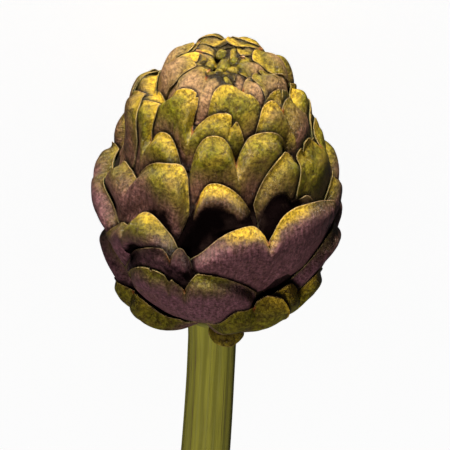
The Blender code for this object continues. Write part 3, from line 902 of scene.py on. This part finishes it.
    def build_bract(self, k: int, bract: Bract, skin: Material, wrap: Wrap) -> Laid:
        """One bract as a closed sheet, with what its skin reads stored on its points.

        The columns crowd where a split is, and the rows towards the edge. Two slow noises ripple the face.

        Args:
            k: its number along the spiral.
            bract: its shape.
            skin: its material.
            wrap: what lies under it, which it is added to.

        Returns:
            The bract and where it lies.
        """
        across = np.linspace(-1, 1, self.columns)
        for split in bract.splits:
            near = np.linspace(-2.2, 2.2, 9) * split.width / bract.half_width()
            across = np.unique(np.concatenate([across, np.clip(split.across + near, -1, 1)]).round(5))
        u, b = np.meshgrid(across, 1 - np.linspace(0, 1, self.rows) ** 1.3)
        azimuth, along, height, to_edge = bract.face(u, b)
        height = self.press(bract, u, (azimuth, along, height, to_edge), wrap)
        footprint = wrap.cover(azimuth, along, height)
        sideways = u * bract.half_width()
        wide_ripple = 0.42 * smooth_noise(sideways / 8 + 9.3 * k, along / 9, 5)
        fine_ripple = 0.13 * smooth_noise(sideways / 2.2 + 5.1 * k, along / 6, 6)
        height = height + (wide_ripple + fine_ripple) * ramp(to_edge, 0.0, 4.0)
        thicker = (self.root_thickness - self.edge_thickness) * np.clip(to_edge / self.thick_depth, 0, 1)
        outer = self.lay_down(OUTLINE.place(azimuth, along, height))
        inner = self.lay_down(OUTLINE.place(azimuth, along, height - (self.edge_thickness + thicker)))
        points, faces = closed_sheet(outer, inner)
        piece = make_piece(f"bract_{k:02d}", points, faces, skin)
        if bract.thorn:
            self.thorns.append((bract, float(height[0, np.argmin(np.abs(across))])))

        for name, values in self.paint(bract, u, to_edge, along).items():
            under_side = np.zeros_like(values) if name in ("gold_and_highlight", "rust") else values
            set_attribute(piece, name, np.concatenate([values.ravel(), under_side.ravel()]))
        set_attribute(piece, "inner", np.concatenate([np.zeros(u.size), np.ones(u.size)]))
        set_map(piece, sideways / 10 + 3.7 * k, along / 10)
        return Laid(piece, azimuth, along, footprint)

    def paint(self, bract: Bract, u: Array, to_edge: Array, along: Array) -> dict[str, Array]:
        """What the skin reads on a bract's points.

        Args:
            bract: the bract.
            u: places across.
            to_edge: distances to the edge.
            along: distances along the outline.

        Returns:
            The distance to the nearest margin, the distance past where the green ends, how golden it is, partly as
            a painted highlight, how rusty, how much painted shade or dim darkens it, and how warm its ground colour
            is.
        """
        half_width = bract.half_width()
        lobe, peak = np.where(u < 0, *bract.lobes), np.where(u < 0, *bract.peaks)
        dome = hill((np.abs(u) - peak) * half_width, self.green_spread) * np.clip(lobe / 6, 0.15, 1)
        # Painted shade in the hollow under the lobes, between the shade's depths and across its span.
        (near, far), (left, right) = bract.shade, bract.shade_across
        depth = np.maximum(to_edge, self.painted_shade_slope * (bract.tip() - along))
        dark = ramp(depth, near - 4, near + 5) * ramp(depth, far + 4, far - 1)
        dark = dark * ramp(u, left - 0.15, left + 0.15) * ramp(u, right + 0.15, right - 0.15)
        return {
            "edge": np.minimum(to_edge, half_width * (1 - np.abs(u)) * 0.8),
            "reach": to_edge - bract.olive * (0.2 + 0.8 * dome),
            # gold on the lobe tops near the edge, partly a painted highlight
            "gold_and_highlight": bract.gold_and_highlight * dome * hill(to_edge, self.gold_and_highlight_depth),
            "rust": np.exp(-((half_width * u / 1.3) ** 2) - ((to_edge - 0.5) / 1.6) ** 2),
            # painted shade in the hollow, or the bract's dim where that is darker
            "painted_shade": np.maximum(bract.painted_shade * dark, bract.dim),
            "warm": np.full_like(u, float(ramp(bract.notch, 70.0, 118.0) + ramp(bract.notch, 126.0, 144.0))),
        }

    def build_thorns(self, skin: Material) -> None:
        """The thorns in the notches, in one piece: slim cones that lean a little out and on past the margin."""
        rings, sides = self.thorn_grid
        up, turn = np.meshgrid(np.linspace(0, 1, rings), np.arange(sides) * 2 * math.pi / sides, indexing="ij")
        thick = self.thorn_radius * (1 - up) ** 0.7 + 0.04
        points, faces = [], []
        for number, (bract, height) in enumerate(self.thorns):
            along = bract.notch - 1.2 + up * bract.thorn
            azimuth = bract.azimuth + OUTLINE.turn(thick * np.cos(turn) + 0.3 * up, along)
            out = height + 0.1 + 0.35 * up * bract.thorn + thick * np.sin(turn)
            points.append(self.lay_down(OUTLINE.place(azimuth, along, out)).reshape(-1, 3))
            faces += tube_faces(rings, sides, End.FLAT, start=number * up.size)
        piece = make_piece("thorns", np.concatenate(points), faces, skin)
        set_attribute(piece, "up", np.tile(up.ravel(), len(self.thorns)))

    def round_tips(self, azimuth: Array, along: Array) -> Array:
        """How much painted shade places on the outline get, round the youngest tips and in the pits beside them."""
        turn, radius = np.radians(azimuth), OUTLINE.read("radius", along)
        dark = np.zeros_like(along)
        spots = [(where, distance, 1.3 * size) for where, distance, _, size in self.tips]
        for where, distance, size in (*spots, *self.pits):
            middle = math.radians(where)
            gap_x = radius * np.sin(turn) - distance * math.sin(middle)
            gap_y = radius * np.cos(turn) - distance * math.cos(middle)
            dark = np.maximum(dark, 1.9 * np.exp(-((gap_x**2 + gap_y**2) / size**2) ** 2))
        return dark * ramp(along, 125.0, 135.0)

    def build_tips(self, skin: Material) -> None:
        """The youngest bracts' rounded tips, in one piece: egg shapes that crowd in the hollow on top."""
        rings, sides = self.tip_grid
        polars, turns = np.linspace(0, math.pi, rings + 2)[1:-1], np.arange(sides) * 2 * math.pi / sides
        polar, turn = np.meshgrid(polars, turns, indexing="ij")
        unit = np.stack([np.sin(polar) * np.cos(turn), np.sin(polar) * np.sin(turn), np.cos(polar)], axis=-1)
        points, faces = [], []
        for number, (azimuth, distance, level, size) in enumerate(self.tips):
            swell = 1 + 0.10 * smooth_noise(unit[..., 0] * 1.4 + 7 * number, unit[..., 1] * 1.4 + unit[..., 2], 8)
            centre = np.array([math.sin(math.radians(azimuth)), -math.cos(math.radians(azimuth)), 0]) * distance
            shape = unit * size * swell[..., None] * (1.0, 1.0, self.tip_stretch) + centre + (0, 0, level)
            points.append(self.lay_down(shape).reshape(-1, 3))
            faces += tube_faces(rings, sides, End.FLAT, flip=True, start=number * polar.size)
        piece = make_piece("apex_tips", np.concatenate(points), faces, skin)
        top = np.tile(unit[..., 2].ravel(), len(self.tips))
        flat = {"edge": 9.0, "reach": -12.0, "gold_and_highlight": 0.0, "crease_shade": 0.0, "rust": 0.0, "warm": 2.0, "inner": 0.0}
        for name, value in flat.items():
            set_attribute(piece, name, np.full(top.shape, value))
        # Painted shade on the tips' sides that face away from the apex.
        set_attribute(piece, "painted_shade", 0.9 * ramp(top, 0.6, -0.2))
        set_map(piece, *(np.concatenate(points)[:, :2] * 100).T)

    def build_heart(self, skin: Material) -> Piece:
        """The heart and its neck: the outline turned about the axis, closed at both ends.

        It lies a little further in than the bracts, and comes out to the outline itself where it joins the stem.
        """
        rings, sides = self.heart_grid
        places = np.linspace(0.5, OUTLINE.curve["distance"][-1] - self.heart_end, rings)
        azimuth, along = np.meshgrid(np.arange(sides) * 360.0 / sides, places)
        wall = OUTLINE.place(azimuth, along, -self.core_depth * ramp(along, *self.neck))
        wall[0] = wall[1] * (0.98, 0.98, 0.0) - (0.0, 0.0, 0.35)  # a collar that sinks into the stem
        middles = np.array([[0, 0, wall[0, 0, 2]], [0, 0, wall[-1, 0, 2]]])
        points = self.lay_down(np.concatenate([wall.reshape(-1, 3), middles]))
        piece = make_piece("heart", points, tube_faces(rings, sides, End.FAN), skin)
        set_attribute(piece, "neck", np.concatenate([ramp(along, *self.green_neck).ravel(), [1.0, 0.0]]))
        return piece

    def build_foot(self, skin: Material) -> None:
        """The small bract that droops from under the bud over the stem.

        It is a curved strip with a low keel. Its middle line is a radius and a level given along it, and its end
        draws back with the square of the place across.
        """
        knots = np.linspace(0, 1, len(self.foot_profile))
        radius, level = np.array(self.foot_profile).T
        u, b = np.meshgrid(np.linspace(-1, 1, self.foot_steps), np.linspace(1, 0, self.foot_steps))
        reach = b * (1 - 0.38 * u**2)
        r = np.interp(reach, knots, radius) + 0.5 * hill(u, 0.22) * b - 0.5 * u**4
        z = np.interp(reach, knots, level)
        turns = np.radians(self.foot_azimuth + self.foot_width * u * (0.7 + 0.5 * b - 0.5 * b**2))
        slope_r, slope_z = np.interp(reach, knots, np.gradient(radius)), np.interp(reach, knots, np.gradient(level))
        length = np.hypot(slope_r, slope_z)
        sheets = []
        for depth in (0.0, self.foot_thickness):
            out, down = r + slope_z / length * depth, z - slope_r / length * depth
            sheets.append(self.lay_down(np.stack([out * np.sin(turns), -out * np.cos(turns), down], axis=-1)))
        points, faces = closed_sheet(*sheets)
        piece = make_piece("small_bract", points, faces, skin)
        to_edge = np.minimum((1 - b) * self.foot_length, (1 - np.abs(u)) * self.foot_half_width)
        # An even gold over the small bract, a painted light that lifts it where the bud shades it.
        fields = {"edge": to_edge, "reach": to_edge * 0.2 - 14, "gold_and_highlight": np.full_like(u, 0.22)}
        fields |= {name: np.zeros_like(u) for name in ("crease_shade", "rust", "painted_shade", "warm", "inner")}
        for name, values in fields.items():
            set_attribute(piece, name, np.tile(values.ravel(), 2))
        set_map(piece, self.foot_half_width * u / 10, b * self.foot_length / 10)

    def build(self) -> None:
        """Builds the head, which stands for the plain one.

        The bracts are wrapped from the innermost out, and then given painted shade from the outermost in, beside
        what lies over them.
        """
        skin = BractSkin().make()
        heart = self.build_heart(HeartSkin().make())
        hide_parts("head")
        wrap = Wrap(self.core_depth)
        wrapped = [self.build_bract(k, bract, skin, wrap) for k, bract in reversed(list(enumerate(self.grow())))]
        covered = np.zeros_like(wrap.heights)
        for laid in reversed(wrapped):
            # Painted shade beside the margins of the bracts over each bract, and round the tips on top.
            crease_shade = 2 * wrap.read(wrap.blurred(covered, self.crease_shade), laid.azimuth, laid.along)
            crease_shade = np.maximum(crease_shade, self.round_tips(laid.azimuth, laid.along))
            set_attribute(laid.piece, "crease_shade", np.concatenate([crease_shade.ravel(), np.zeros(crease_shade.size)]))
            covered = np.maximum(covered, laid.footprint)
        self.build_foot(skin)
        self.build_tips(skin)
        self.build_thorns(SpineSkin().make())


@dataclass(frozen=True)
class Stem:
    """The ribbed stem, bent a little to the left, with its plain cut end. Depths run down from the bud."""

    profile: Pairs = (  # depth and radius
        (0.0, 10.0), (4.0, 9.6), (12.0, 9.2), (32.0, 9.2), (54.0, 9.4), (76.8, 9.6), (77.7, 9.3), (78.0, 8.6),
    )
    even_to: float = 76.8  # how far down the rings are evenly spaced
    rim: tuple[float, ...] = (77.4, 77.8, 78.0)  # the rings of the cut end's rim
    cut_from: float = 77.5
    ribs: int = 12
    rib_height: float = 0.28
    bend: float = 1.6
    gap: float = 0.3
    map_girth: float = 0.95  # centimetres of map for each radian round it
    sides: int = 192
    rings: int = 120

    def build(self, bud: Bud) -> None:
        """Builds the stem, which stands for the plain one. The bud carries its points to the part's frame.

        The wall is the profile turned about a bent axis. On it stand ribs, whose height is a cosine raised to a
        power, and which a slow noise makes uneven.
        """
        length = self.profile[-1][0]
        depths = np.concatenate([np.linspace(0, self.even_to, self.rings), self.rim])
        turn, depth = np.meshgrid(np.arange(self.sides) * 2 * math.pi / self.sides, depths)
        wander = 0.05 * smooth_noise(4 * np.cos(turn) + 9, depth / 30, 2)
        rib = np.clip(0.5 + 0.5 * np.cos(self.ribs * (turn + wander)), 0, 1) ** 0.6
        uneven = 0.6 + 0.4 * np.cos(5 * turn + 1.0)
        radius = np.interp(depth, *zip(*self.profile))
        radius = radius + self.rib_height * (rib - 0.5) * uneven * np.clip(depth / 10, 0, 1)
        sideways = -self.bend * (depth / length) ** 2
        wall = np.stack([sideways + radius * np.sin(turn), -radius * np.cos(turn), -self.gap - depth], axis=-1)
        middles = np.array([[0, 0, -self.gap], [-self.bend, 0, -self.gap - length]])
        points = bud.lay_down(np.concatenate([wall.reshape(-1, 3), middles]))
        faces = tube_faces(len(depths), self.sides, End.FAN, flip=True)
        piece = make_piece("stalk", points, faces, StemSkin().make())
        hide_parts("stem")
        set_attribute(piece, "rib", np.concatenate([rib.ravel(), [0, 0]]))
        set_attribute(piece, "cut", np.concatenate([(depth > self.cut_from).astype(float).ravel(), [1, 1]]))
        ends = ([3.0, 3.0], [0.0, length / 10])
        set_map(piece, *(np.append(part, end) for part, end in zip((turn * self.map_girth, depth / 10), ends)))


@dataclass(frozen=True)
class Lamp:
    """A soft rectangular light: where it stands as a direction from the artichoke, its size and its power."""

    name: str
    direction: Triple
    distance: float
    size: float
    power: float
    colour: Colour
    glossy: bool = True  # whether it gives highlights

    def place(self, target: Vector, lit: bpy.types.Collection) -> None:
        """Puts the lamp up, aimed at the target. It lights nothing but the collection's objects."""
        light = bpy.data.lights.new(self.name, "AREA")
        light.shape = "RECTANGLE"
        light.size = light.size_y = self.size
        light.energy = self.power
        light.color = self.colour
        lamp = bpy.data.objects.new(self.name, light)
        out = Vector(self.direction).normalized()
        lamp.location = target + out * self.distance
        lamp.rotation_euler = out.to_track_quat("Z", "Y").to_euler()
        lamp.light_linking.receiver_collection = lit
        lamp.visible_glossy = self.glossy
        bpy.context.scene.collection.objects.link(lamp)


@dataclass(frozen=True)
class Studio:
    """A pale floor, soft light, and a camera that looks down on the lying artichoke from beyond its apex."""

    camera_tilt: float = 36.0  # between the view and square on to the axis, in degrees
    camera_roll: float = 1.9
    camera_distance: float = 1.8
    view_width: float = 0.1694  # metres across the view at the artichoke
    aim: Pair = (0.0034, -0.0075)  # of the view's middle, right of and above the bud's middle
    farthest: float = 20.0
    bud_middle: Triple = (0.0, -0.0025, 0.046)
    floor_size: float = 4.0
    floor_colour: Colour = (0.86, 0.86, 0.86)
    floor_glow: float = 0.93
    surroundings: float = 0.05  # how bright the white world is
    lamps: tuple[Lamp, ...] = (
        Lamp("key", (-0.12, 0.98, 0.18), 1.0, 0.16, 32.0, (1.0, 0.98, 0.93)),
        Lamp("fill", (-0.2, -0.45, 0.88), 1.4, 0.6, 16.0, (1.0, 0.98, 1.0), glossy=False),
    )

    def build_floor(self) -> None:
        """A plain floor that glows, so that it stays pale and doesn't light the artichoke."""
        glow = {"Emission_Color": (1, 1, 1), "Emission_Strength": self.floor_glow}
        paper = Nodes("paper").finish(Base_Color=self.floor_colour, Roughness=0.9, **glow)
        half = self.floor_size / 2
        mesh = bpy.data.meshes.new("floor")
        corners = [(-half, -half, 0), (half, -half, 0), (half, half, 0), (-half, half, 0)]
        mesh.from_pydata(corners, [], [(0, 1, 2, 3)])
        mesh.materials.append(paper)
        floor = bpy.data.objects.new("floor", mesh)
        bpy.context.scene.collection.objects.link(floor)
        floor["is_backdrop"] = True
        floor.visible_diffuse = floor.visible_glossy = False

    def build_light(self) -> None:
        """The lamps, which light the artichoke's pieces alone, and a faint even light from all round."""
        lit = bpy.data.collections.new("lit_by_key")
        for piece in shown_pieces():
            lit.objects.link(piece)
        for lamp in self.lamps:
            lamp.place(Vector(self.bud_middle), lit)
        world = bpy.data.worlds.new("studio")
        bpy.context.scene.world = world
        world.use_nodes = True
        background = world.node_tree.nodes["Background"]
        background.inputs["Color"].default_value = (1, 1, 1, 1)
        background.inputs["Strength"].default_value = self.surroundings

    def build_camera(self) -> None:
        """The camera, which looks along a line that leans from upright by the tilt, towards the apex."""
        tilt = math.radians(self.camera_tilt)
        back = Vector((0, math.sin(tilt), math.cos(tilt)))
        up = Vector((0, math.cos(tilt), -math.sin(tilt)))
        right = up.cross(back)
        lens = bpy.data.cameras.new("camera")
        lens.lens = lens.sensor_width * self.camera_distance / self.view_width
        lens.clip_end = self.farthest
        camera = bpy.data.objects.new("camera", lens)
        bpy.context.scene.collection.objects.link(camera)
        turn = Matrix((right, up, back)).transposed().to_4x4()
        roll = Matrix.Rotation(math.radians(self.camera_roll), 4, "Z")
        centre = Vector(self.bud_middle) + right * self.aim[0] + up * self.aim[1]
        camera.matrix_world = Matrix.Translation(centre + back * self.camera_distance) @ turn @ roll
        bpy.context.scene.camera = camera

    def build(self) -> None:
        """Sets up the floor, the light, the camera and the plain colour handling."""
        self.build_floor()
        self.build_light()
        self.build_camera()
        bpy.context.scene.view_settings.view_transform = "Standard"


def main() -> None:
    """Builds the artichoke and its studio."""
    logging.basicConfig(level=logging.INFO, format="%(message)s")
    bud = Bud()
    bud.build()
    Stem().build(bud)
    Studio().build()


if __name__ == "__main__":
    main()
